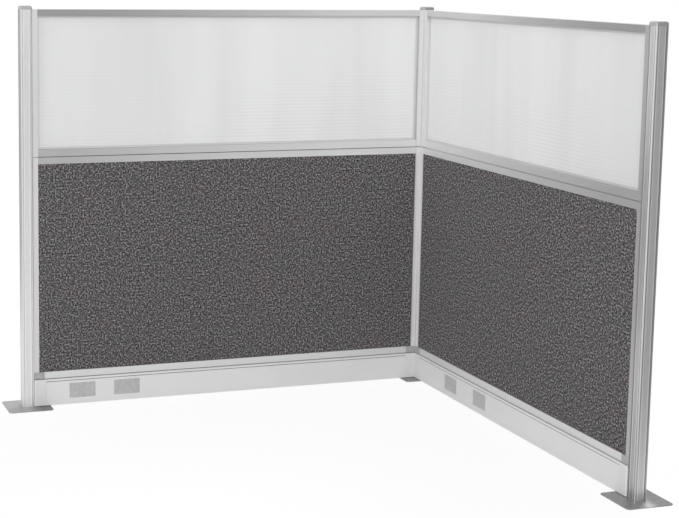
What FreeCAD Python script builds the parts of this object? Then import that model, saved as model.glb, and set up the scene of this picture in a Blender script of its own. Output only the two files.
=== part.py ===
import FreeCAD
import Part
import Sketcher
import os

# An L-shaped office partition: three posts carry two stacked walls, each with a cable raceway at
# its foot, a fabric-faced acoustic panel in an aluminium frame and a translucent window on top.
# Millimetres. The origin is on the floor under the middle of the corner post. The back wall runs
# along -X and the side wall along -Y. A wall's own frame has x along the wall from its middle,
# y through it and z up, with its front, which faces the user, towards -y.

DOC = FreeCAD.newDocument("partition")
SHEET = DOC.addObject("Spreadsheet::Sheet", "Sizes")

# Every driving size, in groups: name, value and what it measures.
DRIVING = [
    ("wall_pitch", 1829, "post centre to post centre along each wall"),
    ("overall_height", 1702, "floor to the top of the post caps"),
    ("fit_gap", 0.3, "clearance between pieces that slide into each other"),
    ("overrun", 2, "how far a cut runs past the face that it opens"),
    ("post_width", 50, "side of the square post"),
    ("post_corner", 5, "radius of the post's outer corners"),
    ("post_web", 2.5, "wall of the post behind its channels"),
    ("channel_width", 33, "width of the channel in each face of the post"),
    ("channel_depth", 6, "depth of that channel"),
    ("strip_recess", 1.5, "cover strip's face below the post's face"),
    ("strip_gap", 1.5, "clear line down each side of a cover strip"),
    ("strip_skin", 1.8, "wall of the cover strip"),
    ("cap_height", 15, "visible height of a post cap"),
    ("cap_bevel", 5, "bevel round the top of a cap"),
    ("spigot_depth", 20, "how far the cap's spigot enters the post"),
    ("foot_size", 190, "side of the square foot plate"),
    ("foot_thickness", 3, "foot plate thickness"),
    ("foot_corner", 15, "radius of the plate's corners"),
    ("port_inset", 5, "post face to the centre of a screw port"),
    ("foot_screw_radius", 2, "foot screw shank radius"),
    ("foot_head_radius", 4, "foot screw head radius"),
    ("foot_head_height", 1.4, "foot screw head height"),
    ("foot_screw_length", 20, "foot screw shank above its head"),
    ("connector_height", 80, "height of one panel-to-post connector"),
    ("frame_inset", 3, "how far the panel frames stand back from the posts' faces"),
    ("stile_width", 22, "visible width of a stile"),
    ("rail_skin", 2, "wall of the hollow frame extrusions"),
    ("slot_depth", 10, "depth of the slot that holds a board or sheet"),
    ("top_rail_height", 26, "window top rail"),
    ("sill_rail_height", 31, "window bottom rail"),
    ("upper_rail_height", 30, "fabric panel top rail"),
    ("bottom_rail_height", 29, "fabric panel bottom rail"),
    ("window_height", 614, "window module with its rails"),
    ("seam_height", 1.5, "half height of the shadow groove between the modules"),
    ("seam_depth", 4, "depth of that groove"),
    ("glazing_thickness", 10, "twin-wall sheet thickness"),
    ("flute_pitch", 15, "spacing of the ribs in the twin-wall sheet"),
    ("flute_skin", 0.9, "skins and ribs of the twin-wall sheet"),
    ("bead_width", 9, "visible width of the glazing bead"),
    ("bead_depth", 3, "glazing bead thickness"),
    ("core_thickness", 32, "acoustic core thickness"),
    ("fabric_thickness", 4, "fabric over its thin backing"),
    ("key_length", 40, "corner key length along a rail"),
    ("frame_screw_radius", 2, "frame screw shank radius"),
    ("frame_screw_length", 30, "frame screw shank length"),
    ("frame_head_radius", 3, "frame screw head radius"),
    ("frame_head_height", 2, "frame screw head height"),
    ("block_width", 45, "width of the corner block at a stile's foot"),
    ("block_thickness", 1.5, "how far the corner block stands proud"),
    ("raceway_clearance", 5, "floor to the lower edge of the raceway"),
    ("raceway_height", 116, "raceway with its header"),
    ("raceway_proud", 4, "how far the raceway stands proud of the posts' faces"),
    ("header_height", 11.5, "raceway's top to the lower edge of its header"),
    ("header_gap", 3, "shadow line between the header and the bottom rail"),
    ("header_skin", 2, "wall of the header"),
    ("cover_skin", 1.8, "wall of a raceway cover, its trough and the spine's base"),
    ("cover_gap", 2.5, "shadow line over a cover"),
    ("cover_return", 7, "inward lip along the top of a cover"),
    ("end_piece_length", 50, "raceway end piece beside a post"),
    ("end_skin", 2, "wall of the end piece"),
    ("spine_thickness", 3, "raceway spine's web"),
    ("hook_radius", 2, "round hook along the foot of a cover"),
    ("hook_inset", 3.5, "hook centre behind the cover's face"),
    ("hook_rise", 2.8, "hook centre above the cover's lower edge"),
    ("trough_lip", 6, "height of the lip that keeps the hook in its trough"),
    ("blank_length", 114, "outlet opening length along the wall"),
    ("blank_height", 65, "outlet opening height"),
    ("back_blank_margin", 152, "back wall: post face to the first outlet opening"),
    ("back_blank_spacing", 83, "back wall: clear length between two openings"),
    ("side_blank_margin", 320, "side wall: post face to the first outlet opening"),
    ("side_blank_spacing", 155, "side wall: clear length between two openings"),
    ("blank_rise", 26, "raceway's lower edge to an outlet opening"),
    ("blank_recess", 1.2, "blank plate behind the cover's face"),
    ("blank_skin", 1.6, "blank plate thickness"),
    ("clip_depth", 8, "snap leg behind a blank plate"),
    ("clip_width", 12, "snap leg width"),
    ("clip_skin", 1.2, "snap leg thickness"),
]


class Size:
    """A length: its value now, and the expression that ties it to the sheet."""

    def __init__(self, value, text):
        self.value = value
        self.text = text

    def __add__(self, other):
        other = sized(other)
        return Size(self.value + other.value, f"({self.text} + {other.text})")

    def __sub__(self, other):
        other = sized(other)
        return Size(self.value - other.value, f"({self.text} - {other.text})")

    def __mul__(self, factor):
        return Size(self.value * factor, f"{self.text} * {factor}")

    def __truediv__(self, divisor):
        return Size(self.value / divisor, f"{self.text} / {divisor}")

    def __neg__(self):
        return Size(-self.value, f"(-1 * {self.text})")


ZERO = Size(0, "0")


def sized(length):
    """Zero may be written bare; every other length is a Size."""
    return ZERO if isinstance(length, int) and length == 0 else length


def smaller(first, second):
    return Size(min(first.value, second.value), f"min({first.text}; {second.text})")


def read_sheet():
    """Fills the sheet and returns the sizes by name."""
    sizes = {}
    for row, (name, value, meaning) in enumerate(DRIVING, start=1):
        SHEET.set(f"A{row}", meaning)
        SHEET.set(f"B{row}", str(value))
        SHEET.setAlias(f"B{row}", name)
        sizes[name] = Size(value, f"Sizes.{name}")
    DOC.recompute()
    return sizes


class Names:
    """Gives each size as an attribute."""

    def __init__(self, sizes):
        self.__dict__.update(sizes)


d = Names(read_sheet())
PARTS = []

# Levels and lengths that several pieces share.
panel_top = d.overall_height - d.cap_height
seam_level = panel_top - d.window_height
raceway_top = d.raceway_clearance + d.raceway_height
half_span = (d.wall_pitch - d.post_width) / 2
inner_half = half_span - d.stile_width
fabric_low = raceway_top + d.bottom_rail_height
fabric_high = seam_level - d.upper_rail_height
glass_low = seam_level + d.sill_rail_height
glass_high = panel_top - d.top_rail_height
post_half = d.post_width / 2
half_frame = post_half - d.frame_inset
post_bore = d.post_width - (d.channel_depth + d.post_web) * 2
port_offset = post_half - d.port_inset
core_slot = d.core_thickness + d.fit_gap * 2
glazing_slot = d.glazing_thickness + d.fit_gap * 2
hollow_half = half_frame - d.seam_depth - d.rail_skin
raceway_half = post_half + d.raceway_proud
cover_low = d.raceway_clearance
cover_high = raceway_top - d.header_height - d.cover_gap
cover_half = half_span - d.end_piece_length - d.fit_gap
hook_across = raceway_half - d.hook_inset
hook_level = d.raceway_clearance + d.hook_rise
base_top = hook_level - d.hook_radius - d.fit_gap
blank_low = d.raceway_clearance + d.blank_rise
blank_high = blank_low + d.blank_height
header_low = raceway_top - d.header_height
shoulder = raceway_top - d.header_gap


class Spot:
    """Where a piece's own frame lies: its place in sheet terms and its turn about Z."""

    def __init__(self, across, along, turn=0):
        self.across = across
        self.along = along
        self.turn = turn

    def seat(self, piece):
        turn = FreeCAD.Rotation(FreeCAD.Vector(0, 0, 1), self.turn)
        base = FreeCAD.Vector(sized(self.across).value, sized(self.along).value, 0)
        piece.Placement = FreeCAD.Placement(base, turn)
        piece.setExpression("Placement.Base.x", sized(self.across).text)
        piece.setExpression("Placement.Base.y", sized(self.along).text)


QUARTER_TURN = 90
WALLS = {
    "back_wall": Spot(-d.wall_pitch / 2, 0),
    "side_wall": Spot(0, -d.wall_pitch / 2, -QUARTER_TURN),
}
POSTS = {
    "left_post": Spot(-d.wall_pitch, 0),
    "corner_post": Spot(0, 0),
    "right_post": Spot(0, -d.wall_pitch),
}
PLANES = {"along": "YZ_Plane", "through": "XZ_Plane", "up": "XY_Plane"}


def new_sketch(body, direction, start):
    """A sketch across a direction, at a start along its plane's normal."""
    plane = next(item for item in body.Origin.OriginFeatures if item.Role == PLANES[direction])
    sketch = body.newObject("Sketcher::SketchObject", "Outline")
    sketch.AttachmentSupport = [(plane, "")]
    sketch.MapMode = "FlatFace"
    start = sized(start)
    base = FreeCAD.Vector(0, 0, start.value)
    sketch.AttachmentOffset = FreeCAD.Placement(base, FreeCAD.Rotation())
    sketch.setExpression("AttachmentOffset.Base.z", start.text)
    return sketch


def tie(sketch, rules):
    """Adds constraints, each with the expression that drives it, or none."""
    sketch.addConstraint([rule for rule, _ in rules])
    for index, (_, text) in enumerate(rules):
        if text:
            sketch.setExpression(f"Constraints[{index}]", text)


def pin_point(line, point, pair):
    """Rules that hold a point at two sizes from the sketch's origin."""
    rules = []
    for kind, axis, length in zip(("DistanceX", "DistanceY"), (-2, -1), pair):
        if length is ZERO:
            rules.append((Sketcher.Constraint("PointOnObject", line, point, axis), None))
        else:
            rule = Sketcher.Constraint(kind, -1, 1, line, point, length.value)
            rules.append((rule, length.text))
    return rules


def draw(body, direction, start, outlines):
    """Draws closed straight outlines with every corner tied to the sheet."""
    sketch = new_sketch(body, direction, start)
    lines = []
    rules = []
    for outline in outlines:
        first = len(lines)
        points = [(sized(a), sized(b)) for a, b in outline]
        places = [FreeCAD.Vector(a.value, b.value, 0) for a, b in points]
        for index, pair in enumerate(points):
            following = (index + 1) % len(places)
            lines.append(Part.LineSegment(places[index], places[following]))
            joined = Sketcher.Constraint("Coincident", first + index, 2, first + following, 1)
            rules.append((joined, None))
            rules += pin_point(first + index, 1, pair)
    sketch.addGeometry(lines, False)
    tie(sketch, rules)
    return sketch


def draw_circles(body, direction, start, spots, radius):
    """Draws circles of one radius at several spots."""
    sketch = new_sketch(body, direction, start)
    normal = FreeCAD.Vector(0, 0, 1)
    circles = []
    rules = []
    for index, (a, b) in enumerate(spots):
        circles.append(Part.Circle(FreeCAD.Vector(a.value, b.value, 0), normal, radius.value))
        rules += pin_point(index, 3, (a, b))
        rules.append((Sketcher.Constraint("Radius", index, radius.value), radius.text))
    sketch.addGeometry(circles, False)
    tie(sketch, rules)
    return sketch


def extrude(body, kind, sketch, length):
    """Pads or pockets a sketch by a length."""
    feature = body.newObject(kind, "Extrusion")
    feature.Profile = sketch
    feature.Length = length.value
    feature.setExpression("Length", length.text)
    return feature


def grow(body, direction, start, length, outlines):
    """Pads outlines along the direction. Outlines inside the first one stay open."""
    return extrude(body, "PartDesign::Pad", draw(body, direction, start, outlines), length)


def carve(body, direction, start, length, outlines):
    """Pockets outlines from a start, against the plane's normal."""
    return extrude(body, "PartDesign::Pocket", draw(body, direction, start, outlines), length)


def drill(body, direction, start, length, spots, radius):
    """Pockets round holes from a start, against the plane's normal."""
    sketch = draw_circles(body, direction, start, spots, radius)
    return extrude(body, "PartDesign::Pocket", sketch, length)


def new_body(label, spot):
    body = DOC.addObject("PartDesign::Body", label)
    body.Label = label
    spot.seat(body)
    PARTS.append(body)
    return body


def rectangle(low_a, high_a, low_b, high_b):
    return [(low_a, low_b), (high_a, low_b), (high_a, high_b), (low_a, high_b)]


def round_edges(body, feature, radius, chosen):
    """Fillets the edges whose middle passes a test."""
    DOC.recompute()
    names = []
    for index, edge in enumerate(feature.Shape.Edges, start=1):
        if chosen(edge):
            names.append(f"Edge{index}")
    fillet = body.newObject("PartDesign::Fillet", "Fillet")
    fillet.Base = (feature, names)
    fillet.Radius = radius.value
    fillet.setExpression("Radius", radius.text)
    return fillet


def upright_at(half):
    """A test for the four upright edges at a square's corners."""
    tolerance = d.fit_gap.value

    def test(edge):
        box = edge.BoundBox
        upright = box.XLength < tolerance and box.YLength < tolerance
        middle = box.Center
        at_corner = abs(abs(middle.x) - half) < tolerance and abs(abs(middle.y) - half) < tolerance
        return upright and at_corner

    return test


# Posts, caps, feet and cover strips


def turned(points, quarters):
    """Turns outline points by quarter turns about the origin."""
    for _ in range(quarters):
        points = [(-sized(b) if b else 0, a) for a, b in points]
    return points


def post_outline():
    """The square post's outer line, with a channel in the middle of each face."""
    side = [
        (post_half, -post_half),
        (post_half, -d.channel_width / 2),
        (post_half - d.channel_depth, -d.channel_width / 2),
        (post_half - d.channel_depth, d.channel_width / 2),
        (post_half, d.channel_width / 2),
    ]
    points = []
    for quarters in range(4):
        points += turned(side, quarters)
    return points


def make_post(name, spot):
    body = new_body(name, spot)
    bore = rectangle(-post_bore / 2, post_bore / 2, -post_bore / 2, post_bore / 2)
    length = panel_top - d.foot_thickness
    shaft = grow(body, "up", d.foot_thickness, length, [post_outline(), bore])
    land = (d.post_width - d.channel_width) / 2 - d.fit_gap
    round_edges(body, shaft, smaller(d.post_corner, land), upright_at(post_half.value))
    drill(body, "up", panel_top, length, port_spots(), d.foot_screw_radius)


def make_cap(name, spot):
    body = new_body(name, spot)
    half = post_half
    crown = grow(body, "up", panel_top, d.cap_height, [rectangle(-half, half, -half, half)])
    bored = post_bore / 2 - d.fit_gap
    square = [rectangle(-bored, bored, -bored, bored)]
    grow(body, "up", panel_top - d.spigot_depth, d.spigot_depth, square)
    land = (d.post_width - d.channel_width) / 2 - d.fit_gap
    feature = round_edges(body, body.Tip, smaller(d.post_corner, land), upright_at(half.value))
    DOC.recompute()
    top_face = next(
        index
        for index, face in enumerate(feature.Shape.Faces, start=1)
        if abs(face.CenterOfMass.z - (panel_top + d.cap_height).value) < d.fit_gap.value
    )
    bevel = body.newObject("PartDesign::Chamfer", "Bevel")
    bevel.Base = (feature, [f"Face{top_face}"])
    bevel.Size = d.cap_bevel.value
    bevel.setExpression("Size", d.cap_bevel.text)


def place_piece(piece, across, along, level, rotation):
    lengths = [sized(across), sized(along), sized(level)]
    base = FreeCAD.Vector(*[length.value for length in lengths])
    piece.Placement = FreeCAD.Placement(base, rotation)
    for letter, length in zip("xyz", lengths):
        piece.setExpression(f"Placement.Base.{letter}", length.text)


def bar(radius, length, across, along, level, lying=False):
    """A round bar from the middle of its end, upwards or lying along x."""
    piece = DOC.addObject("Part::Cylinder", "Bar")
    for name, size in (("Radius", radius), ("Height", length)):
        setattr(piece, name, size.value)
        piece.setExpression(name, size.text)
    upward = FreeCAD.Vector(0, 0, 1)
    direction = FreeCAD.Vector(1, 0, 0) if lying else upward
    place_piece(piece, across, along, level, FreeCAD.Rotation(upward, direction))
    return piece


def screw(head, shank):
    """A head and its shank as one solid."""
    piece = DOC.addObject("Part::Fuse", "Screw")
    piece.Base = head
    piece.Tool = shank
    return piece


def block(low_x, high_x, low_y, high_y, low_z, high_z):
    """A box between six sizes."""
    piece = DOC.addObject("Part::Box", "Block")
    spans = (("Length", low_x, high_x), ("Width", low_y, high_y), ("Height", low_z, high_z))
    for name, low, high in spans:
        span = sized(high) - sized(low)
        setattr(piece, name, span.value)
        piece.setExpression(name, span.text)
    place_piece(piece, low_x, low_y, low_z, FreeCAD.Rotation())
    return piece


def gathered(label, pieces, spot=None):
    """Holds separate solids in one group."""
    group = DOC.addObject("Part::Compound", label)
    group.Label = label
    group.Links = pieces
    if spot:
        spot.seat(group)
    return group


def port_spots():
    """The four screw ports in a post's corners."""
    return [(port_offset * a, port_offset * b) for a in (-1, 1) for b in (-1, 1)]


def make_foot(name, spot):
    body = new_body(name, spot)
    half = d.foot_size / 2
    plate = grow(body, "up", 0, d.foot_thickness, [rectangle(-half, half, -half, half)])
    round_edges(body, plate, d.foot_corner, upright_at(half.value))
    # Each screw has a clearance hole, and a seat for its head from below.
    cuts = [
        (d.foot_thickness + d.overrun, d.foot_screw_radius + d.fit_gap),
        (d.foot_head_height + d.fit_gap, d.foot_head_radius + d.fit_gap),
    ]
    for height, radius in cuts:
        drill(body, "up", height, height + d.overrun, port_spots(), radius)


def make_foot_screws():
    """Four screws under each foot plate, up into the ports in the post's corners."""
    groups = []
    seat = d.fit_gap + d.foot_head_height
    for name, spot in POSTS.items():
        screws = []
        for across, along in port_spots():
            head = bar(d.foot_head_radius, d.foot_head_height, across, along, d.fit_gap)
            shank = bar(d.foot_screw_radius, d.foot_screw_length, across, along, seat)
            screws.append(screw(head, shank))
        groups.append(gathered(f"{name}_screws", screws, spot))
    PARTS.append(gathered("foot_screws", groups))


# Faces of each post that no wall meets, as quarter turns from +X.
OPEN_FACES = {"left_post": (1, 2, 3), "corner_post": (0, 1), "right_post": (0, 2, 3)}


def strip_outline(quarters):
    """A shallow channel section that snaps into the post's channel, open side inward."""
    outer = post_half - d.strip_recess
    floor = post_half - d.channel_depth
    side = d.channel_width / 2 - d.strip_gap
    inner = side - d.strip_skin
    points = [
        (outer, -side),
        (outer, side),
        (floor, side),
        (floor, inner),
        (outer - d.strip_skin, inner),
        (outer - d.strip_skin, -inner),
        (floor, -inner),
        (floor, -side),
    ]
    return turned(points, quarters)


def make_cover_strips():
    groups = []
    for name, faces in OPEN_FACES.items():
        strips = []
        for quarters in faces:
            body = DOC.addObject("PartDesign::Body", "Strip")
            length = panel_top - d.foot_thickness
            grow(body, "up", d.foot_thickness, length, [strip_outline(quarters)])
            strips.append(body)
        groups.append(gathered(f"{name}_strips", strips, POSTS[name]))
    PARTS.append(gathered("post_cover_strips", groups))


def make_connectors():
    """Three keys at each end of each wall, seated in the post's channel behind the stile."""
    levels = [fabric_low, (fabric_low + fabric_high) / 2, glass_low]
    side = d.channel_width / 2 - d.fit_gap
    groups = []
    for name, spot in WALLS.items():
        keys = []
        for level in levels:
            top = level + d.connector_height
            outer = half_span + d.channel_depth
            keys.append(block(half_span, outer, -side, side, level, top))
            keys.append(block(-outer, -half_span, -side, side, level, top))
        groups.append(gathered(f"{name}_connectors", keys, spot))
    PARTS.append(gathered("post_connectors", groups))


# Frames: rails and stiles


def rail_outlines(low, high, slot_width, slot_up, groove_at):
    """Section across a rail: a slot for the board, a hollow, and a step beside the module seam."""
    half = half_frame
    slot = slot_width / 2
    if slot_up:
        slot_floor = high - d.slot_depth
        outer = [(-half, low), (half, low), (half, high), (slot, high), (slot, slot_floor)]
        outer += [(-slot, slot_floor), (-slot, high), (-half, high)]
        hollow = (low + d.rail_skin, slot_floor - d.rail_skin)
    else:
        slot_floor = low + d.slot_depth
        outer = [(half, high), (-half, high), (-half, low), (-slot, low), (-slot, slot_floor)]
        outer += [(slot, slot_floor), (slot, low), (half, low)]
        hollow = (slot_floor + d.rail_skin, high - d.rail_skin)
    stepped = half - d.seam_depth
    if groove_at == "low":
        step = low + d.seam_height
        outer[:2] = [(-half, step), (-stepped, step), (-stepped, low)]
        outer[3:3] = [(stepped, low), (stepped, step), (half, step)]
    if groove_at == "high":
        step = high - d.seam_height
        outer[:2] = [(half, step), (stepped, step), (stepped, high)]
        outer[3:3] = [(-stepped, high), (-stepped, step), (-half, step)]
    return [outer, rectangle(-hollow_half, hollow_half, *hollow)], hollow


# Each rail: its levels, the slot for what it holds, whether that slot faces up, and its seam step.
RAILS = {
    "bottom_rail": (raceway_top, fabric_low, core_slot, True, None),
    "upper_rail": (fabric_high, seam_level, core_slot, False, "high"),
    "sill_rail": (seam_level, glass_low, glazing_slot, True, "low"),
    "top_rail": (glass_high, panel_top, glazing_slot, False, None),
}
# Each module's stiles: their levels, their slot and the rails that are screwed between them.
MODULES = {
    "lower": (raceway_top, seam_level, core_slot, ("bottom_rail", "upper_rail")),
    "window": (seam_level, panel_top, glazing_slot, ("sill_rail", "top_rail")),
}


def make_rails(name, spot):
    for rail, values in RAILS.items():
        body = new_body(f"{name}_{rail}", spot)
        outlines, _ = rail_outlines(*values)
        grow(body, "along", -inner_half, inner_half * 2, outlines)


def stile_outlines(side, slot_width):
    """Section across a stile: its slot faces the panel. Side is -1 on the left, 1 on the right."""
    outer = half_span * side
    inner = inner_half * side
    slot_floor = (inner_half + d.slot_depth) * side
    half = half_frame
    slot = slot_width / 2
    points = [(outer, -half), (outer, half), (inner, half), (inner, slot), (slot_floor, slot)]
    points += [(slot_floor, -slot), (inner, -slot), (inner, -half)]
    low = (half_span - d.rail_skin) * side
    high = (inner_half + d.slot_depth + d.rail_skin) * side
    return [points, rectangle(low, high, -hollow_half, hollow_half)]


def make_stiles(name, spot):
    for module, (low, high, slot_width, rails) in MODULES.items():
        for side, side_name in ((-1, "left"), (1, "right")):
            body = new_body(f"{name}_{module}_stile_{side_name}", spot)
            grow(body, "up", low, high - low, stile_outlines(side, slot_width))
            step_low, step_high = seam_band(module)
            for face in (-1, 1):
                outer = (half_frame + d.overrun) * face
                start = (half_frame - d.seam_depth) * face
                carve_groove(body, side, start, outer, step_low, step_high)
            drill_stile(body, side, rails)


def seam_band(module):
    """The height that the shadow groove takes from a module's stiles."""
    if module == "lower":
        return seam_level - d.seam_height, seam_level + d.overrun
    return seam_level - d.overrun, seam_level + d.seam_height


def carve_groove(body, side, start, outer, low, high):
    """Cuts the shadow groove across one face of a stile."""
    far = (half_span + d.overrun) * side
    near = (inner_half - d.overrun) * side
    outline = [rectangle(near, far, start, outer)]
    carve(body, "up", high, high - low, outline)


def drill_stile(body, side, rails):
    """Drills a stile for the frame screws: a way in for each head, then a hole for its shank."""
    spots = [spot for rail in rails for spot in screw_spots(rail)]
    shank_wall = d.slot_depth + d.rail_skin
    cuts = [
        (half_span, d.rail_skin + d.overrun, d.frame_head_radius + d.fit_gap),
        (inner_half + shank_wall, shank_wall + d.overrun, d.frame_screw_radius + d.fit_gap),
    ]
    for outer, depth, radius in cuts:
        # The cut runs towards -x, so on the left it starts past its inner end.
        start = outer + d.overrun if side > 0 else -outer + depth
        drill(body, "along", start, depth + d.overrun, spots, radius)


def screw_spots(rail):
    """Two screws at each rail end, in the middle of the rail's hollow."""
    low, high = rail_outlines(*RAILS[rail])[1]
    offset = half_frame / 2
    level = (low + high) / 2
    return [(-offset, level), (offset, level)]


# Corner keys and frame screws


def make_keys():
    """A key in each rail end, which the two screws through the stile draw tight."""
    groups = []
    across = hollow_half - d.fit_gap
    for name, spot in WALLS.items():
        keys = []
        for rail in RAILS:
            low, high = rail_outlines(*RAILS[rail])[1]
            near = inner_half - d.key_length
            for side in (-1, 1):
                start, end = (near, inner_half) if side > 0 else (-inner_half, -near)
                level = (low + d.fit_gap, high - d.fit_gap)
                key = block(start, end, -across, across, *level)
                for along, height in screw_spots(rail):
                    bore = bar(d.frame_screw_radius, d.key_length, start, along, height, True)
                    drilled = DOC.addObject("Part::Cut", "Drilled")
                    drilled.Base = key
                    drilled.Tool = bore
                    key = drilled
                keys.append(key)
        groups.append(gathered(f"{name}_keys", keys, spot))
    PARTS.append(gathered("corner_keys", groups))


def make_frame_screws():
    """Screws whose heads sit inside the stiles' hollows."""
    groups = []
    seat = inner_half + d.slot_depth + d.rail_skin
    head = (d.frame_head_radius, d.frame_head_height)
    shank = (d.frame_screw_radius, d.frame_screw_length)
    # Where a head and a shank start, at the left end and at the right.
    starts = [(-seat - d.frame_head_height, -seat), (seat, seat - d.frame_screw_length)]
    for name, spot in WALLS.items():
        screws = []
        for rail in RAILS:
            for along, level in screw_spots(rail):
                for head_start, shank_start in starts:
                    head_bar = bar(*head, head_start, along, level, True)
                    shank_bar = bar(*shank, shank_start, along, level, True)
                    screws.append(screw(head_bar, shank_bar))
        groups.append(gathered(f"{name}_frame_screws", screws, spot))
    PARTS.append(gathered("frame_screws", groups))


# Fabric panel and window


def make_fabric_panel(name, spot):
    """The core fills the frame's slots; a fabric skin lies on each face of it."""
    core = new_body(f"{name}_acoustic_core", spot)
    tongue = d.slot_depth - d.fit_gap
    wide = inner_half + tongue
    half = d.core_thickness / 2
    low = fabric_low - tongue
    outline = rectangle(-wide, wide, low, fabric_high + tongue)
    grow(core, "through", -half, d.core_thickness, [outline])
    edge = inner_half - d.fit_gap
    outline = rectangle(-edge, edge, fabric_low + d.fit_gap, fabric_high - d.fit_gap)
    front = new_body(f"{name}_fabric_front", spot)
    grow(front, "through", half, d.fabric_thickness, [outline])
    rear = new_body(f"{name}_fabric_rear", spot)
    grow(rear, "through", -half - d.fabric_thickness, d.fabric_thickness, [outline])


def make_glazing(name, spot):
    """A twin-wall sheet: one flute is cut through it, then repeated up the sheet."""
    body = new_body(f"{name}_glazing", spot)
    tongue = d.slot_depth - d.fit_gap
    wide = inner_half + tongue
    half = d.glazing_thickness / 2
    low = glass_low - tongue
    high = glass_high + tongue
    grow(body, "along", -wide, wide * 2, [rectangle(-half, half, low, high)])
    inner = half - d.flute_skin
    flute = rectangle(-inner, inner, low + d.flute_skin, low + d.flute_pitch)
    cut = carve(body, "along", wide + d.overrun, (wide + d.overrun) * 2, [flute])
    pattern = body.newObject("PartDesign::LinearPattern", "Flutes")
    pattern.Originals = [cut]
    pattern.Direction = (cut.Profile[0], ["V_Axis"])
    room = high - low - d.flute_skin
    count = int(room.value // d.flute_pitch.value)
    pattern.Occurrences = count
    pattern.setExpression("Occurrences", f"floor({room.text} / {d.flute_pitch.text})")
    pattern.Length = d.flute_pitch.value * (count - 1)
    pattern.setExpression("Length", f"{d.flute_pitch.text} * ({pattern.Name}.Occurrences - 1)")
    body.Tip = pattern


def make_beads(name, spot):
    """A glazing bead round each face of the sheet."""
    edge = inner_half - d.fit_gap
    low = glass_low + d.fit_gap
    high = glass_high - d.fit_gap
    sheet = d.glazing_thickness / 2
    beads = []
    for side in (-1, 1):
        face = sheet + d.bead_depth
        near, far = (-face, -sheet) if side < 0 else (sheet, face)
        bead = DOC.addObject("Part::Cut", "Bead")
        bead.Base = block(-edge, edge, near, far, low, high)
        width = d.bead_width
        bead.Tool = block(
            width - edge, edge - width, near - d.overrun, far + d.overrun, low + width, high - width
        )
        beads.append(bead)
    PARTS.append(gathered(f"{name}_glazing_beads", beads, spot))


def make_corner_blocks():
    """Thin blocks that cover the joint of stile and bottom rail, on both faces of each wall."""
    groups = []
    face = half_frame + d.block_thickness
    for name, spot in WALLS.items():
        blocks = []
        for near, far in ((-face, -half_frame), (half_frame, face)):
            levels = (raceway_top + d.fit_gap, fabric_low)
            blocks.append(block(half_span - d.block_width, half_span, near, far, *levels))
            blocks.append(block(-half_span, d.block_width - half_span, near, far, *levels))
        groups.append(gathered(f"{name}_blocks", blocks, spot))
    PARTS.append(gathered("corner_blocks", groups))


# Raceway


def mitre_reach(across):
    """How far along the wall its raceway reaches, at a distance from the wall's middle plane."""
    return half_span + post_half - across


def mirrored(points):
    """The same outline on the other side of the wall's middle plane."""
    return [(along, -across) for along, across in reversed(points)]


def make_header(name, spot):
    """A flat cap that carries the panel, and down each side a trim whose ends return to the posts."""
    neck = half_frame - d.seam_depth
    inner = raceway_half - d.header_skin
    inner_reach = mitre_reach(inner)
    outer_reach = mitre_reach(raceway_half)
    cap = DOC.addObject("PartDesign::Body", "Cap")
    side = [
        (-half_span, post_half),
        (-inner_reach, inner),
        (inner_reach, inner),
        (half_span, post_half),
    ]
    grow(cap, "up", shoulder - d.header_skin, d.header_skin, [side + mirrored(side)])
    grow(cap, "up", shoulder, d.header_gap, [rectangle(-half_span, half_span, -neck, neck)])
    pieces = [cap]
    trim = [
        (-inner_reach, inner),
        (-outer_reach, raceway_half),
        (outer_reach, raceway_half),
        (inner_reach, inner),
    ]
    for outline in (trim, mirrored(trim)):
        body = DOC.addObject("PartDesign::Body", "Trim")
        grow(body, "up", header_low, shoulder - header_low, [outline])
        pieces.append(body)
    right = [
        (half_span, post_half),
        (inner_reach, inner),
        (inner_reach - d.header_skin, inner),
        (half_span - d.header_skin, post_half),
    ]
    left = [(-along, across) for along, across in reversed(right)]
    for outline in (right, left, mirrored(right), mirrored(left)):
        body = DOC.addObject("PartDesign::Body", "TrimReturn")
        grow(body, "up", header_low, shoulder - d.header_skin - header_low, [outline])
        pieces.append(body)
    PARTS.append(gathered(f"{name}_raceway_header", pieces, spot))


def make_spine(name, spot):
    """An upright web on a base plate, whose lips make a trough for each cover's hook."""
    reach = half_span - d.end_skin
    web = d.spine_thickness / 2
    base = hook_across - d.hook_radius / 2
    lip_out = hook_across - d.hook_radius - d.fit_gap
    lip_in = lip_out - d.cover_skin
    lip_levels = (base_top, base_top + d.trough_lip)
    pieces = [
        block(-reach, reach, -web, web, base_top, shoulder - d.header_skin),
        block(-reach, reach, -base, base, base_top - d.cover_skin, base_top),
        block(-reach, reach, lip_in, lip_out, *lip_levels),
        block(-reach, reach, -lip_out, -lip_in, *lip_levels),
    ]
    PARTS.append(gathered(f"{name}_raceway_spine", pieces, spot))


def make_end_pieces(name, spot):
    """A channel at each end, seen from above, with mitred corners and its back to the post."""
    pieces = []
    inner = raceway_half - d.end_skin
    near = half_span - d.end_piece_length
    back = half_span - d.end_skin
    turn = mitre_reach(raceway_half)
    half_skin = d.end_skin / 2
    side = [
        (half_span, post_half),
        (turn, raceway_half),
        (near, raceway_half),
        (near, inner),
        (turn - half_skin, inner),
        (back, post_half - half_skin),
    ]
    outline = side + mirrored(side)
    for points in (outline, [(-along, across) for along, across in outline]):
        body = DOC.addObject("PartDesign::Body", "EndPiece")
        grow(body, "up", cover_low, header_low - cover_low, [points])
        pieces.append(body)
    PARTS.append(gathered(f"{name}_raceway_ends", pieces, spot))


FACES = {"front": -1, "rear": 1}


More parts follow.
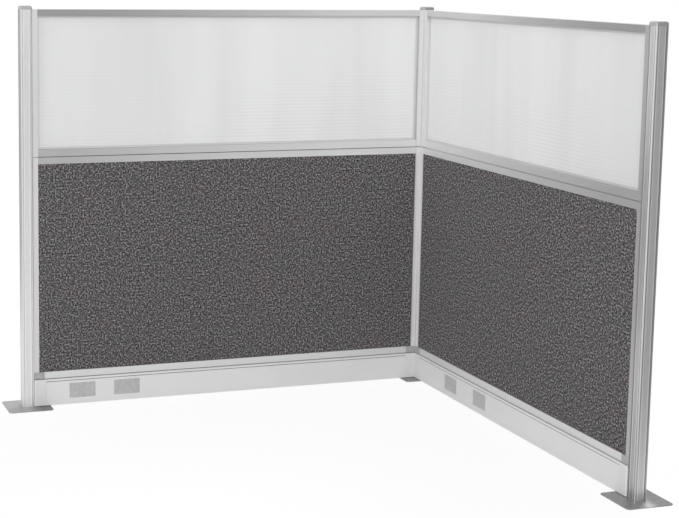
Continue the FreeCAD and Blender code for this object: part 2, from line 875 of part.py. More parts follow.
def blank_spans(name, face):
    """The two outlet openings of a wall's face, which lie near its left end seen from there."""
    margin = d.back_blank_margin if name == "back_wall" else d.side_blank_margin
    spacing = d.back_blank_spacing if name == "back_wall" else d.side_blank_spacing
    first = margin - half_span
    second = first + d.blank_length + spacing
    spans = [(start, start + d.blank_length) for start in (first, second)]
    if face == "rear":
        spans = [(-end, -start) for start, end in spans]
    return spans


def make_cover(name, spot, face):
    """A long cover: a face, an inward lip on top and a round hook along its foot."""
    side = FACES[face]
    body = new_body(f"{name}_cover_{face}", spot)
    outer = raceway_half * side
    inner = (raceway_half - d.cover_skin) * side
    tip = (raceway_half - d.cover_skin - d.cover_return) * side
    axis = hook_across * side
    arm = d.cover_skin / 2
    outline = [
        (outer, cover_low),
        (outer, cover_high),
        (tip, cover_high),
        (tip, cover_high - d.cover_skin),
        (inner, cover_high - d.cover_skin),
        (inner, hook_level + arm),
        (axis, hook_level + arm),
        (axis, hook_level - arm),
        (inner, hook_level - arm),
        (inner, cover_low),
    ]
    grow(body, "along", -cover_half, cover_half * 2, [outline])
    hook = draw_circles(body, "along", -cover_half, [(axis, hook_level)], d.hook_radius)
    extrude(body, "PartDesign::Pad", hook, cover_half * 2)
    # The sketch plane faces -y and the cut runs towards +y.
    start = raceway_half + d.overrun
    if side > 0:
        start = -raceway_half + d.cover_skin + d.overrun
    openings = [rectangle(low, high, blank_low, blank_high) for low, high in blank_spans(name, face)]
    carve(body, "through", start, d.cover_skin + d.overrun * 2, openings)


def make_blank(name, spot, face, number, span):
    """A plate set back in its opening, with a snap leg above and below."""
    side = FACES[face]
    body = new_body(f"{name}_blank_{face}_{number}", spot)
    low, high = span
    low = low + d.fit_gap
    high = high - d.fit_gap
    bottom = blank_low + d.fit_gap
    top = blank_high - d.fit_gap
    outer = raceway_half - d.blank_recess
    back = outer - d.blank_skin
    plate_start = back if side < 0 else -outer
    plate = [rectangle(low, high, bottom, top)]
    grow(body, "through", plate_start, d.blank_skin, plate)
    middle = (low + high) / 2
    half = d.clip_width / 2
    legs_start = back - d.clip_depth if side < 0 else -back
    for level in (bottom, top - d.clip_skin):
        leg = rectangle(middle - half, middle + half, level, level + d.clip_skin)
        grow(body, "through", legs_start, d.clip_depth, [leg])


# The whole partition

for post_name, post_spot in POSTS.items():
    make_post(post_name, post_spot)
    make_cap(f"{post_name}_cap", post_spot)
    make_foot(f"{post_name}_foot", post_spot)
make_cover_strips()
make_foot_screws()
make_connectors()
for wall_name, wall_spot in WALLS.items():
    make_rails(wall_name, wall_spot)
    make_stiles(wall_name, wall_spot)
    make_fabric_panel(wall_name, wall_spot)
    make_glazing(wall_name, wall_spot)
    make_beads(wall_name, wall_spot)
    make_header(wall_name, wall_spot)
    make_spine(wall_name, wall_spot)
    make_end_pieces(wall_name, wall_spot)
    for wall_face in FACES:
        make_cover(wall_name, wall_spot, wall_face)
        for blank_number, blank_span in enumerate(blank_spans(wall_name, wall_face), start=1):
            make_blank(wall_name, wall_spot, wall_face, blank_number, blank_span)
make_keys()
make_frame_screws()
make_corner_blocks()
DOC.recompute()

for item in DOC.Objects:
    if "Invalid" in item.State or "Error" in item.State:
        raise ValueError(f"{item.Label} did not build: {item.State}")
for item in PARTS:
    if item.Shape.isNull() or not item.Shape.isValid() or not item.Shape.Solids:
        raise ValueError(f"{item.Label} has no valid solid")

os.makedirs("parts", exist_ok=True)
for item in PARTS:
    item.Shape.exportStep(f"parts/{item.Label}.step")
print(len(PARTS), "nodes,", sum(len(item.Shape.Solids) for item in PARTS), "solids")
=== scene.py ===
"""Looks for two joined office screens: fabric below, fluted glazing above, a cable raceway at the floor.

Lengths are in metres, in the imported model's own frame: the floor is z 0, the corner post stands at x 0, y 0,
the back wall runs along -X and the side wall along -Y.
"""

import math

import bpy
import numpy as np
from mathutils import Matrix, Vector


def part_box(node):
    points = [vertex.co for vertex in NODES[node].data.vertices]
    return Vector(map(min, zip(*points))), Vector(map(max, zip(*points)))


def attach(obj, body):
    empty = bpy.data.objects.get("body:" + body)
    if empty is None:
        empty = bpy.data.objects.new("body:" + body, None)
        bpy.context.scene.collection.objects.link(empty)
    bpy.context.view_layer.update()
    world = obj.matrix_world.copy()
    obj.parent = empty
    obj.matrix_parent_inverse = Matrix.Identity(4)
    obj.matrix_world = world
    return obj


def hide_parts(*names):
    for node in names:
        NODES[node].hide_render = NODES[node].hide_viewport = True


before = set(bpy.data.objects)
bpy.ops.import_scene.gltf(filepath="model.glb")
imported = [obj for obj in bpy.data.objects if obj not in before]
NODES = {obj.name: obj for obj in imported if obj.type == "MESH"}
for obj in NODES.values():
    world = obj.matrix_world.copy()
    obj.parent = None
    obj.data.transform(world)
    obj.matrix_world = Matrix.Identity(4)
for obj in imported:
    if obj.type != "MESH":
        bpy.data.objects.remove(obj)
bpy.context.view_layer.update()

ROOT = "partition"
WALLS = ("back_wall", "side_wall")

# Camera, found by fitting the posts, rails and foot plates to their places in the photograph.
FRAME_WIDE = 679
FRAME_HIGH = 518
CAMERA_AT = Vector((-3.1791, -6.6167, 1.8741))
CAMERA_YAW = math.radians(18.936)
CAMERA_PITCH = math.radians(-8.088)
CAMERA_ROLL = math.radians(0.646)
FOCAL_PIXELS = 1612.0
CENTRE_PIXEL_X = 233.5
CENTRE_PIXEL_Y = 195.0
SENSOR_WIDTH = 36.0

# Studio: lamps as name, place and watts, all square and aimed at one point.
SKY_LEVEL = 0.66
DIM_GLOSS = 0.12
FLOOR_SIZE = 45.0
LAMP_SIZE = 9.0
LAMP_AIM = Vector((-0.9, -0.9, 0.8))
LAMPS = (
    ("front", (-4.0, -20.0, 10.0), 1650.0),
    ("side", (-20.0, -4.0, 10.0), 1400.0),
    ("back", (10.0, 11.0, 17.0), 2900.0),
)

# Places on the object that the finishes follow.
POST_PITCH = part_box("corner_post_cap")[0].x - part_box("left_post_cap")[0].x
SEAM_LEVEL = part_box("back_wall_upper_rail")[1].z
BEAD_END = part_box("back_wall_glazing_beads")[1].x
GLAZING_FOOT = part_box("back_wall_glazing")[0].z
RACEWAY_TOP = 0.118
FLUTE_PITCH = 0.015

# Grain of the extrusions, in lines per metre along each axis, by the way that they run.
GRAINS = {"up": (900.0, 900.0, 7.0), "x": (7.0, 900.0, 900.0), "y": (900.0, 7.0, 900.0)}

# Cloth: thread spacing, the side wall's lengthwise share of the pattern, thickness, roll at the edges,
# inset from the CAD's box, depth of its waver, and points along the wall, up the wall and round the roll.
THREAD_PITCH = 0.0019
SIDE_CLOTH_SHARE = 0.75
CLOTH_THICK = 0.0012
CLOTH_ROLL = 0.0032
CLOTH_INSET = 0.0004
CLOTH_WAVER = 0.00035
CLOTH_ALONG = 150
CLOTH_UP = 90
ROLL_POINTS = 6


def colour(red, green=None, blue=None):
    """A linear colour from the shares that a picture shows, by the usual display curve."""
    shown = np.array([red, red if green is None else green, red if blue is None else blue])
    linear = np.where(shown <= 0.04045, shown / 12.92, ((shown + 0.055) / 1.055) ** 2.4)
    return (*linear.tolist(), 1.0)


class Finish:
    """A material's node tree, with a short call for each kind of node that the finishes use."""

    def __init__(self, name):
        self.material = bpy.data.materials.new(name)
        self.material.use_nodes = True
        self.tree = self.material.node_tree
        self.shader = self.tree.nodes["Principled BSDF"]
        self.places = self.add("TexCoord").outputs

    def feed(self, socket, value):
        """Links a socket to another, or sets it."""
        if isinstance(value, bpy.types.NodeSocket):
            self.tree.links.new(value, socket)
        else:
            socket.default_value = value

    def add(self, kind, inputs=None, **settings):
        """A new node with its settings, and its inputs fed by name or number."""
        node = self.tree.nodes.new("ShaderNode" + kind)
        for key, value in settings.items():
            setattr(node, key, value)
        for key, value in (inputs or {}).items():
            self.feed(node.inputs[key], value)
        return node

    def spread(self, stretch, place="Object"):
        """Coordinates multiplied by stretch, three numbers of pattern per metre."""
        return self.add("Mapping", {"Vector": self.places[place], "Scale": stretch}).outputs["Vector"]

    def split(self):
        """The object's own coordinates as three numbers."""
        return self.add("SeparateXYZ", {0: self.places["Object"]}).outputs

    def from_corner(self):
        """Level distance from the corner post's axis, by sqrt(x^2 + y^2)."""
        return self.add("VectorMath", {0: self.spread((1.0, 1.0, 0.0))}, operation="LENGTH").outputs["Value"]

    def noise(self, where, detail=3.0, roughness=0.55, distortion=0.0):
        """Soft noise, one cell for each unit of the coordinates."""
        inputs = {
            "Vector": where,
            "Scale": 1.0,
            "Detail": detail,
            "Roughness": roughness,
            "Distortion": distortion,
        }
        return self.add("TexNoise", inputs).outputs["Fac"]

    def remap(self, value, low, high, to_low=0.0, to_high=1.0):
        """Takes value from low..high to to_low..to_high, and holds it there."""
        inputs = {
            "Value": value,
            "From Min": low,
            "From Max": high,
            "To Min": to_low,
            "To Max": to_high,
        }
        return self.add("MapRange", inputs, clamp=True).outputs["Result"]

    def calc(self, operation, first, second=0.0):
        """One Math node, by the name of its operation."""
        return self.add("Math", {0: first, 1: second}, operation=operation).outputs["Value"]

    def distance(self, value, level):
        """How far a value is from a level, either way."""
        return self.calc("ABSOLUTE", self.calc("SUBTRACT", value, level))

    def mix(self, share, first, second, blend="MIX"):
        """Two colours mixed."""
        node = self.add("Mix", data_type="RGBA", blend_type=blend, clamp_factor=True)
        self.feed(node.inputs["Factor"], share)
        colours = [socket for socket in node.inputs if socket.type == "RGBA"]
        self.feed(colours[0], first)
        self.feed(colours[1], second)
        return [socket for socket in node.outputs if socket.type == "RGBA"][0]

    def bump(self, height, depth, strength):
        """Raises the surface by depth metres where height is 1."""
        return self.add("Bump", {"Height": height, "Distance": depth, "Strength": strength}).outputs["Normal"]

    def finish(self, **sockets):
        """Feeds the main shader's sockets, whose names are written with underscores."""
        for key, value in sockets.items():
            self.feed(self.shader.inputs[key.replace("_", " ")], value)
        return self.material


def rail_tone(f, metal, shade):
    """Rails and stiles: painted light makes them lighter towards the corner, and a painted shade line darkens
    the groove between the modules, less on the side wall.
    """
    flat = f.from_corner()
    # painted light: paler towards the corner
    near = f.remap(flat, 0.35, 1.65, 1.0, 0.0)
    lighter = f.mix(f.calc("MULTIPLY", near, 0.75), metal, colour(0.90))
    split = f.split()
    # painted shade: a dark line on the groove's faces, weaker on the side wall
    in_groove = f.remap(f.distance(split["Z"], SEAM_LEVEL), 0.0014, 0.0017, 1.0, 0.0)
    on_back_wall = f.remap(split["Y"], -0.1, -0.05, 0.35, 1.0)
    return f.mix(f.calc("MULTIPLY", in_groove, on_back_wall), lighter, shade)


def top_rail_tone(f, metal, shade):
    """The top rails: as the others near the corner, and darker than them further out by painted shade, as in
    the photograph.
    """
    flat = f.from_corner()
    # painted shade: the dark copy's share grows away from the corner
    return f.mix(f.remap(flat, 0.5, 1.5, 0.20, 0.46), rail_tone(f, metal, shade), shade)


def stile_tone(f, metal, shade):
    """Stiles: as the rails, but painted light makes them pale at the back wall's open end, and a painted
    shadow line darkens them where the bead ends.
    """
    split = f.split()
    # painted light at the back wall's open end
    open_end = f.remap(split["X"], -1.72, -1.70, 0.42, 0.0)
    paler = f.mix(open_end, rail_tone(f, metal, shade), colour(0.93))
    # painted shadow line beside the bead's end
    off_line = f.distance(split["X"], BEAD_END + 0.0013)
    return f.mix(f.remap(off_line, 0.0010, 0.0013, 0.4, 0.0), paler, shade)


def lower_rail_tone(f, metal, shade):
    """The bottom rails, paler than the others as in the photograph."""
    return f.mix(0.62, metal, colour(0.88))


def from_axis(f, place):
    """A point's signed distance from the nearest post's axis, (place + pitch / 2) mod pitch - pitch / 2."""
    middle = POST_PITCH / 2
    wrapped = f.calc("FLOORED_MODULO", f.calc("ADD", place, middle), POST_PITCH)
    return f.calc("SUBTRACT", wrapped, middle)


def post_tone(f, metal, shade):
    """Posts: on each face a painted highlight, a lighter roll along the strip's edges, and painted shade, a
    darker cove between strip and corner.

    As in the photograph the left post's coves hardly show, painted light makes the left post paler, and
    painted shade darkens the faces towards -X: the left post's from its middle up, the right post's near the
    floor.
    """
    split = f.split()
    across = [from_axis(f, split[way]) for way in "XY"]
    place = f.calc("MINIMUM", *[f.calc("ABSOLUTE", signed) for signed in across])
    left = f.remap(split["X"], -1.0, -0.9, 1.0, 0.0)
    high = f.remap(split["Z"], 0.25, 0.75)
    # painted shade in the cove and a painted highlight on the roll
    cove = f.calc("MULTIPLY", f.remap(place, 0.0155, 0.0170), f.remap(place, 0.0195, 0.0215, 1.0, 0.0))
    roll = f.calc("MULTIPLY", f.remap(place, 0.0095, 0.0110), f.remap(place, 0.0138, 0.0150, 1.0, 0.0))
    cove_share = f.calc("MULTIPLY", cove, f.remap(left, 0.0, 1.0, 0.55, 0.10))
    # painted shade on the faces towards -X
    side = f.remap(across[0], -0.0235, -0.0230, 1.0, 0.0)
    left_share = f.calc("MULTIPLY", left, f.remap(high, 0.0, 1.0, 0.0, 0.70))
    right_share = f.calc("MULTIPLY", f.calc("SUBTRACT", 1.0, left), f.remap(high, 0.0, 1.0, 0.55, 0.0))
    side_share = f.calc("MULTIPLY", side, f.calc("ADD", left_share, right_share))
    # painted light on the left post
    lit = f.mix(f.calc("MULTIPLY", left, 0.28), f.mix(cove_share, metal, shade), colour(0.97))
    dimmed = f.mix(side_share, lit, shade)
    return f.mix(f.calc("MULTIPLY", roll, 0.5), dimmed, colour(0.97))


def satin_aluminium(name, grain, shown, roughness, metallic, tone=None):
    """Anodised extrusion: fine lines along its length, faint clouds and handling marks."""
    f = Finish(name)
    lines = f.noise(f.spread(grain), detail=2.0)
    clouds = f.noise(f.spread((2.1, 2.1, 1.3)), detail=4.0)
    marks = f.noise(f.spread((38.0, 38.0, 21.0)), detail=5.0, roughness=0.7)
    dull = f.mix(f.remap(clouds, 0.35, 0.65), colour(shown * 0.965), colour(shown, shown, shown * 1.005))
    metal = f.mix(f.remap(lines, 0.3, 0.7, 0.0, 0.5), dull, colour(shown * 0.93))
    # most tones paint light and shade by place, with this darker copy as the shade
    if tone:
        metal = tone(f, metal, colour(shown * 0.6))
    worn = f.calc("ADD", f.remap(lines, 0.3, 0.7, -0.05, 0.05), f.remap(marks, 0.5, 0.75, 0.0, 0.07))
    return f.finish(
        Base_Color=metal,
        Metallic=metallic,
        Roughness=f.calc("ADD", worn, roughness),
        Normal=f.bump(lines, 0.00008, 0.35),
    )


def plate_steel(name):
    """Brushed plate: fine lines and a few scuffs, and painted shade, darker under the left raceway and behind
    the side wall.
    """
    f = Finish(name)
    lines = f.noise(f.spread((14.0, 1300.0, 1300.0)), detail=2.0)
    clouds = f.noise(f.spread((75.0, 75.0, 75.0)), detail=5.0, roughness=0.7)
    scuffs = f.noise(f.spread((150.0, 34.0, 60.0)), detail=6.0, roughness=0.7, distortion=0.6)
    along = f.split()["X"]
    # painted shade under the left raceway and behind the side wall
    left_foot = f.remap(along, -1.0, -0.9, 1.0, 0.0)
    under_wall = f.calc("MULTIPLY", f.remap(along, 0.02 - POST_PITCH, 0.05 - POST_PITCH), left_foot)
    dark_share = f.calc("ADD", f.calc("MULTIPLY", under_wall, 0.55), f.remap(along, 0.0, 0.04))
    bright = f.mix(f.remap(clouds, 0.3, 0.7), colour(0.56, 0.56, 0.565), colour(0.69, 0.69, 0.695))
    base = f.mix(dark_share, bright, f.mix(f.remap(clouds, 0.3, 0.7), colour(0.37), colour(0.46)))
    rough = f.calc("ADD", f.remap(lines, 0.3, 0.7, 0.38, 0.46), f.remap(scuffs, 0.55, 0.75, 0.0, 0.06))
    return f.finish(Base_Color=base, Metallic=0.75, Roughness=rough, Normal=f.bump(lines, 0.00005, 0.3))


def powder_coat(name, shown):
    """Baked powder paint: a fine orange peel, faint dirt at the floor, painted shade on the neck under the
    bottom rail.
    """
    f = Finish(name)
    peel = f.noise(f.spread((620.0, 620.0, 620.0)), detail=2.0)
    clouds = f.noise(f.spread((3.0, 3.0, 3.0)), detail=4.0)
    height = f.split()["Z"]
    grime = f.calc("MULTIPLY", f.remap(height, 0.0, 0.035, 1.0, 0.0), f.remap(clouds, 0.35, 0.7))
    clean = f.mix(f.remap(clouds, 0.3, 0.7), colour(shown * 0.975), colour(shown))
    dusty = f.mix(f.calc("MULTIPLY", grime, 0.35), clean, colour(shown * 0.86, shown * 0.85, shown * 0.83))
    # painted shade on the header's neck, above the raceway's top
    neck_shade = f.remap(height, RACEWAY_TOP + 0.0001, RACEWAY_TOP + 0.0004)
    base = f.mix(neck_shade, dusty, colour(0.24))
    rub = f.noise(f.spread((45.0, 45.0, 45.0)), detail=4.0)
    rough = f.remap(rub, 0.3, 0.7, 0.43, 0.55)
    return f.finish(Base_Color=base, Roughness=rough, Normal=f.bump(peel, 0.00012, 0.5))


def moulded_plastic(name, shown):
    """Fine spark-eroded grain on injection-moulded plastic."""
    f = Finish(name)
    grain = f.add("TexVoronoi", {"Vector": f.spread((900.0, 900.0, 900.0)), "Scale": 1.0}).outputs["Distance"]
    clouds = f.noise(f.spread((60.0, 60.0, 60.0)), detail=4.0)
    base = f.mix(f.remap(clouds, 0.3, 0.7), colour(shown * 0.93), colour(shown * 1.03))
    rough = f.remap(clouds, 0.3, 0.7, 0.42, 0.55)
    return f.finish(Base_Color=base, Roughness=rough, Normal=f.bump(grain, 0.00006, 0.6))


def galvanised(name):
    """Zinc-coated sheet: crystals some millimetres across."""
    f = Finish(name)
    crystals = f.add("TexVoronoi", {"Vector": f.spread((120.0, 120.0, 120.0)), "Scale": 1.0}).outputs["Color"]
    spangle = f.add("SeparateColor", {"Color": crystals}).outputs[0]
    base = f.mix(spangle, colour(0.60, 0.61, 0.62), colour(0.70, 0.71, 0.72))
    return f.finish(Base_Color=base, Metallic=0.9, Roughness=f.remap(spangle, 0.0, 1.0, 0.38, 0.55))


def screw_metal(name, shown):
    """Plated screws: bright, with fine turning marks."""
    f = Finish(name)
    marks = f.noise(f.spread((700.0, 700.0, 700.0)), detail=3.0)
    base = f.mix(f.remap(marks, 0.3, 0.7), colour(shown * 0.9), colour(shown))
    return f.finish(Base_Color=base, Metallic=0.95, Roughness=f.remap(marks, 0.3, 0.7, 0.24, 0.38))


def fibre_board(name):
    """Pressed glass-fibre core, seen only if a fabric is taken off."""
    f = Finish(name)
    fibres = f.noise(f.spread((260.0, 260.0, 60.0)), detail=6.0, roughness=0.75)
    base = f.mix(f.remap(fibres, 0.3, 0.7), colour(0.60, 0.55, 0.38), colour(0.74, 0.69, 0.50))
    return f.finish(Base_Color=base, Roughness=0.9, Normal=f.bump(fibres, 0.0008, 0.6))


def fluted_glazing(name):
    """Twin-wall sheet: level ribs show through as faint lines, and the light clouds softly up and down.

    A rib lies at each whole number of (height - sheet's foot) / pitch. Painted light makes the sheet brighter
    near the corner.
    """
    f = Finish(name)
    height = f.split()["Z"]
    along_rib = f.calc("FRACT", f.calc("DIVIDE", f.calc("SUBTRACT", height, GLAZING_FOOT), FLUTE_PITCH))
    rib = f.remap(f.distance(along_rib, 0.5), 0.40, 0.49)
    patches = f.remap(f.noise(f.spread((1.1, 1.1, 1.7)), detail=2.0), 0.40, 0.64, 0.15, 1.0)
    lower = f.remap(height, GLAZING_FOOT, GLAZING_FOOT + 0.45, 1.0, 0.35)
    rib_share = f.calc("MULTIPLY", f.calc("MULTIPLY", rib, f.calc("MULTIPLY", patches, lower)), 0.5)
    clouds = f.noise(f.spread((3.4, 3.4, 0.45)), detail=3.0, distortion=0.3)
    flat = f.from_corner()
    cloud_share = f.remap(clouds, 0.32, 0.68)
    outer = f.mix(cloud_share, colour(0.846, 0.847, 0.848), colour(0.880, 0.881, 0.882))
    inner = f.mix(cloud_share, colour(0.880, 0.881, 0.882), colour(0.918, 0.919, 0.920))
    # painted light: brighter near the corner
    soft = f.mix(f.remap(flat, 0.2, 1.7), inner, outer)
    lined = f.mix(rib_share, soft, colour(0.72, 0.722, 0.725))
    return f.finish(
        Base_Color=lined,
        Roughness=f.remap(clouds, 0.3, 0.7, 0.30, 0.42),
        Transmission_Weight=0.12,
        IOR=1.45,
        Normal=f.bump(rib, 0.00025, 0.35),
    )


def tweed(name):
    """Nubby woven cloth: warp and weft, small light and dark flecks of yarn, and a slow drift of hue.

    The weave is sin(2 pi x / thread) sin(2 pi y / thread) with wavering phases, with painted shade in its
    hollows, and a fine fibre noise multiplies the yarn's colour, with painted light paler towards the corner.
    """
    f = Finish(name)
    fleck = f.noise(f.spread((152.0, 142.0, 152.0), "UV"), detail=0.6, roughness=0.5)
    knot = f.noise(f.spread((118.0, 131.0, 118.0), "UV"), detail=1.0)
    clump = f.noise(f.spread((61.0, 52.0, 61.0), "UV"), detail=2.0)
    hue = f.noise(f.spread((11.0, 9.0, 11.0), "UV"), detail=2.5)
    warm = f.mix(f.remap(hue, 0.46, 0.66), colour(0.350, 0.341, 0.345), colour(0.364, 0.336, 0.342))
    yarn = f.mix(f.remap(hue, 0.48, 0.30), warm, colour(0.341, 0.348, 0.345))
    light = f.mix(f.remap(fleck, 0.50, 0.74), yarn, colour(0.655, 0.645, 0.650))
    dark = f.mix(f.remap(fleck, 0.50, 0.24), light, colour(0.078, 0.073, 0.076))
    clumped = f.mix(f.remap(clump, 0.35, 0.65, 0.0, 0.16), dark, colour(0.22, 0.21, 0.215))
    knotted = f.mix(f.remap(knot, 0.60, 0.74, 0.0, 0.45), clumped, colour(0.62, 0.61, 0.615))
    waver = f.noise(f.spread((190.0, 190.0, 190.0), "UV"), detail=1.0)
    split = f.add("SeparateXYZ", {0: f.places["UV"]}).outputs
    phase = f.calc("MULTIPLY", waver, 3.0)
    turns = [
        f.calc("ADD", f.calc("MULTIPLY", split[way], 2 * math.pi / THREAD_PITCH), phase)
        for way in "XY"
    ]
    weave = f.calc("MULTIPLY", *[f.calc("SINE", turn) for turn in turns])
    fibre = f.noise(f.spread((1500.0, 1300.0, 1500.0), "UV"), detail=3.0, roughness=0.65)
    nap = f.calc("MULTIPLY", f.calc("ADD", fleck, fibre), 0.4)
    height = f.calc("ADD", f.calc("MULTIPLY", weave, 0.35), nap)
    # painted shade in the weave's hollows
    hollow = f.mix(f.remap(weave, -1.0, 0.6, 0.5, 0.0), knotted, colour(0.06))
    flat = f.from_corner()
    # fibre noise, and painted light paler towards the corner
    level = f.calc("MULTIPLY", f.remap(fibre, 0.3, 0.7, 0.58, 1.28), f.remap(flat, 0.1, 1.0, 1.14, 1.01))
    levels = f.add("CombineColor", {0: level, 1: level, 2: level}).outputs[0]
    shade = f.mix(1.0, hollow, levels, "MULTIPLY")
    return f.finish(
        Base_Color=shade,
        Roughness=0.93,
        Sheen_Weight=0.02,
        Sheen_Roughness=0.5,
        Specular_IOR_Level=0.2,
        Normal=f.bump(height, 0.0003, 0.3),
    )


def grain_of(node):
    """The aluminium finish for a rail, bead or stile: the way it runs, with the tone for its place, most of
    which paint light and shade.
    """
    if "rail" in node or "beads" in node:
        along = "x" if node.startswith("back") else "y"
        if "bottom_rail" in node or "beads" in node:
            return along + "_pale"
        return along + "_dark" if "top_rail" in node else along
    return "up_stile"


def paint_cad():
    """Gives every node that shows its finish, by the slot that the model names for it."""
    # tones by place: the plain one, _dark and the stiles' paint light and shade, _dark being the top rails'
    # painted shade; _pale is the bottom rails' and beads' paler tone
    tones = {"": rail_tone, "_pale": lower_rail_tone, "_dark": top_rail_tone}
    aluminium = {
        way + key: satin_aluminium(f"satin_{way}{key}", GRAINS[way], 0.68, 0.42, 0.35, tone)
        for way in "xy"
        for key, tone in tones.items()
    }
    aluminium["up_stile"] = satin_aluminium("satin_up_stile", GRAINS["up"], 0.68, 0.42, 0.35, stile_tone)
    finishes = {
        "post_aluminium": satin_aluminium("post_satin", GRAINS["up"], 0.80, 0.32, 0.65, post_tone),
        "cap_metal": satin_aluminium("cap_satin", (300.0, 300.0, 300.0), 0.70, 0.34, 0.6),
        "foot_steel": plate_steel("foot_plate_brushed"),
        "raceway_paint": powder_coat("raceway_powder", 0.83),
        "raceway_end": powder_coat("raceway_end_powder", 0.815),
        "raceway_steel": galvanised("raceway_zinc"),
        "outlet_blank": moulded_plastic("outlet_blank_grain", 0.68),
        "corner_block": moulded_plastic("corner_block_grain", 0.63),
        "acoustic_core": fibre_board("core_fibre"),
        "glazing": fluted_glazing("glazing_fluted"),
        "fixings": screw_metal("screws_plated", 0.72),
        "fixings_aluminium": screw_metal("keys_plain", 0.78),
    }
    for name, node in NODES.items():
        for holder in node.material_slots:
            slot = holder.material.name.split(".")[0] if holder.material else ""
            if slot in ("frame_aluminium", "glazing_bead"):
                holder.material = aluminium[grain_of(name)]
            elif slot in finishes:
                holder.material = finishes[slot]
            elif slot != "panel_fabric":
                print("no finish for", name, slot)


def grid_piece(name, points, uv):
    """A mesh of quads from points, an array of rows by columns by three, with a UV for each point."""
    rows, columns, _ = points.shape
    index = np.arange(rows * columns).reshape(rows, columns)
    quads = np.stack([index[:-1, :-1], index[:-1, 1:], index[1:, 1:], index[1:, :-1]], axis=-1).reshape(-1, 4)
    mesh = bpy.data.meshes.new(name)
    mesh.from_pydata(points.reshape(-1, 3).tolist(), [], quads.tolist())
    layer = mesh.uv_layers.new(name="cloth")
    corners = np.zeros(len(mesh.loops), np.int32)
    mesh.loops.foreach_get("vertex_index", corners)
    layer.data.foreach_set("uv", uv.reshape(-1, 2)[corners].astype(np.float32).ravel())
    mesh.polygons.foreach_set("use_smooth", np.ones(len(mesh.polygons), bool))
    piece = bpy.data.objects.new(name, mesh)
    bpy.context.scene.collection.objects.link(piece)
    return piece


def rolled(count, low, high):
    """Distances along a stretched cloth and how they lie: in from both ends by a quarter turn of the roll.

    The first list is the place across the panel, the second how far the cloth has turned in from its face.
    """
    turn = np.linspace(0.0, math.pi / 2, ROLL_POINTS)
    into = CLOTH_ROLL * (1 - np.sin(turn))
    inward = CLOTH_ROLL * (1 - np.cos(turn))
    flat = np.linspace(low + CLOTH_ROLL, high - CLOTH_ROLL, count)[1:-1]
    place = np.concatenate([low + inward, flat, high - inward[::-1]])
    depth = np.concatenate([into, np.zeros(len(flat)), into[::-1]])
    return place, depth


def stretched_cloth(node, cloth):
    """A panel's cloth: a flat face pulled over the core, rolled in at its four edges, wavering a little.

    Its flat size is the panel's, less the inset and with the quarter turn of the roll at both ends.
    """
    core = node.split("_fabric")[0] + "_acoustic_core"
    low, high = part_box(node)
    wall_x = high.x - low.x > high.y - low.y
    thick_axis, long_axis = (1, 0) if wall_x else (0, 1)
    centre = (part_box(core)[0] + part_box(core)[1]) / 2
    outward = 1.0 if (low[thick_axis] + high[thick_axis]) / 2 > centre[thick_axis] else -1.0
    face = (high if outward > 0 else low)[thick_axis] - outward * CLOTH_INSET
    along, turn_a = rolled(CLOTH_ALONG, low[long_axis] + CLOTH_INSET, high[long_axis] - CLOTH_INSET)
    up, turn_b = rolled(CLOTH_UP, low.z + CLOTH_INSET, high.z - CLOTH_INSET)
    a, b = np.meshgrid(along, up, indexing="ij")
    deep = np.maximum(turn_a[:, None], turn_b[None, :])
    waver = np.sin(a * 7.3 + b * 3.1) * np.sin(b * 9.7 - a * 2.3)
    waver = waver + 0.5 * np.sin(a * 23.0 + 1.3) * np.sin(b * 17.0)
    deep = deep + CLOTH_WAVER * (0.5 + waver / 3)
    points = np.zeros((*a.shape, 3))
    points[..., long_axis] = a
    points[..., 2] = b
    points[..., thick_axis] = face - outward * deep
    uv = np.stack([a * (1.0 if wall_x else SIDE_CLOTH_SHARE), b], axis=-1)
    if (outward > 0) == wall_x:
        points, uv = points[::-1], uv[::-1]
    piece = grid_piece(node + "_cloth", points, uv)
    piece.data.materials.append(cloth)
    wall = piece.modifiers.new("thickness", "SOLIDIFY")
    wall.thickness = CLOTH_THICK
    wall.offset = -1.0
    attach(piece, ROOT)
    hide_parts(node)


def make_camera():
    """The photograph's view: turned by yaw, pitch and roll from looking along +Y, with the measured shift."""
    forward = math.cos(CAMERA_PITCH)
    ahead = Vector((
        math.sin(CAMERA_YAW) * forward,
        math.cos(CAMERA_YAW) * forward,
        math.sin(CAMERA_PITCH),
    ))
    level = Vector((math.cos(CAMERA_YAW), -math.sin(CAMERA_YAW), 0.0))
    upward = level.cross(ahead)
    right = level * math.cos(CAMERA_ROLL) + upward * math.sin(CAMERA_ROLL)
    top = upward * math.cos(CAMERA_ROLL) - level * math.sin(CAMERA_ROLL)
    data = bpy.data.cameras.new("camera")
    data.sensor_width = SENSOR_WIDTH
    data.lens = FOCAL_PIXELS / FRAME_WIDE * SENSOR_WIDTH
    data.shift_x = (FRAME_WIDE / 2 - CENTRE_PIXEL_X) / FRAME_WIDE
    data.shift_y = (CENTRE_PIXEL_Y - FRAME_HIGH / 2) / FRAME_WIDE
    data.clip_end = 100.0
    camera = bpy.data.objects.new("camera", data)
    turn = Matrix((right, top, -ahead)).transposed().to_4x4()
    camera.matrix_world = Matrix.Translation(CAMERA_AT) @ turn
    bpy.context.scene.collection.objects.link(camera)
    bpy.context.scene.camera = camera


def area_light(name, place, power):
    """A soft square lamp that looks at the object's middle."""
    data = bpy.data.lights.new(name, "AREA")
    data.shape = "RECTANGLE"
    data.size = LAMP_SIZE
    data.size_y = LAMP_SIZE
    data.energy = power
    lamp = bpy.data.objects.new(name, data)
    lamp.location = place
    lamp.rotation_euler = (LAMP_AIM - Vector(place)).to_track_quat("-Z", "Y").to_euler()
    bpy.context.scene.collection.objects.link(lamp)


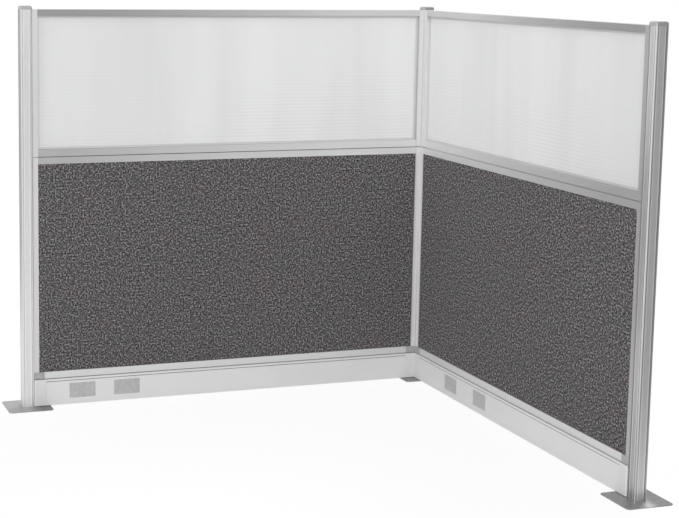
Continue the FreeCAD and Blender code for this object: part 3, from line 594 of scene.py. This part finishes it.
def surroundings():
    """White to the eye, soft grey for light, and for gloss dimmer towards +X, as beside a dark wall."""
    world = bpy.data.worlds.new("studio")
    bpy.context.scene.world = world
    world.use_nodes = True
    tree = world.node_tree
    tree.nodes.clear()

    def node(kind, **settings):
        made = tree.nodes.new("ShaderNode" + kind)
        for key, value in settings.items():
            setattr(made, key, value)
        return made

    rays = node("LightPath").outputs
    clear = node("Math", operation="MAXIMUM")
    tree.links.new(rays["Is Camera Ray"], clear.inputs[0])
    tree.links.new(rays["Is Transmission Ray"], clear.inputs[1])
    split = node("SeparateXYZ")
    tree.links.new(node("TexCoord").outputs["Generated"], split.inputs[0])
    gloss = node("MapRange", interpolation_type="SMOOTHSTEP")
    tree.links.new(split.outputs["X"], gloss.inputs["Value"])
    for key, value in (("From Min", 0.15), ("From Max", 0.55), ("To Min", 1.0), ("To Max", DIM_GLOSS)):
        gloss.inputs[key].default_value = value
    level = node("Mix", data_type="FLOAT")
    tree.links.new(rays["Is Glossy Ray"], level.inputs["Factor"])
    level.inputs["A"].default_value = SKY_LEVEL
    tree.links.new(gloss.outputs["Result"], level.inputs["B"])
    strength = node("Mix", data_type="FLOAT")
    tree.links.new(clear.outputs[0], strength.inputs["Factor"])
    tree.links.new(level.outputs["Result"], strength.inputs["A"])
    strength.inputs["B"].default_value = 1.0
    sky = node("Background")
    sky.inputs["Color"].default_value = (1.0, 1.0, 1.0, 1.0)
    tree.links.new(strength.outputs["Result"], sky.inputs["Strength"])
    tree.links.new(sky.outputs[0], node("OutputWorld").inputs["Surface"])


def pale_floor():
    """A pale floor that keeps the shadow near the object and is white further off."""
    places = np.array([-FLOOR_SIZE, 0.0, FLOOR_SIZE])
    a, b = np.meshgrid(places, places, indexing="ij")
    floor = grid_piece("floor", np.stack([a, b, np.zeros_like(a)], axis=-1), np.stack([a, b], axis=-1))
    f = Finish("floor_pale")
    clouds = f.noise(f.spread((0.6, 0.6, 0.6)), detail=3.0)
    f.finish(Base_Color=f.mix(clouds, colour(0.94), colour(0.955)), Roughness=0.8)
    away = f.add("VectorMath", {0: f.places["Object"]}, operation="LENGTH").outputs["Value"]
    white = f.remap(away, 1.6, 4.5, 0.90, 1.0)
    rays = f.add("LightPath").outputs
    straight = f.calc("MAXIMUM", rays["Is Camera Ray"], rays["Is Glossy Ray"])
    in_gloss = f.remap(f.split()["X"], -0.2, 0.7, 1.0, DIM_GLOSS)
    seen = f.calc("MAXIMUM", rays["Is Camera Ray"], in_gloss)
    lit = f.add("Emission", {"Color": (1.0, 1.0, 1.0, 1.0), "Strength": seen})
    blend = f.add("MixShader", {"Fac": f.calc("MULTIPLY", straight, white)})
    f.feed(blend.inputs[1], f.shader.outputs[0])
    f.feed(blend.inputs[2], lit.outputs[0])
    f.feed(f.tree.nodes["Material Output"].inputs["Surface"], blend.outputs[0])
    floor.data.materials.append(f.material)


def make_studio():
    """The surroundings, a pale floor and three soft lamps, far enough off to light each wall evenly."""
    surroundings()
    pale_floor()
    for name, place, power in LAMPS:
        area_light(name, place, power)


bpy.context.scene.view_settings.view_transform = "Standard"
make_camera()
make_studio()
paint_cad()
cloth_finish = tweed("tweed_charcoal")
for wall in WALLS:
    for side in ("front", "rear"):
        stretched_cloth(f"{wall}_fabric_{side}", cloth_finish)
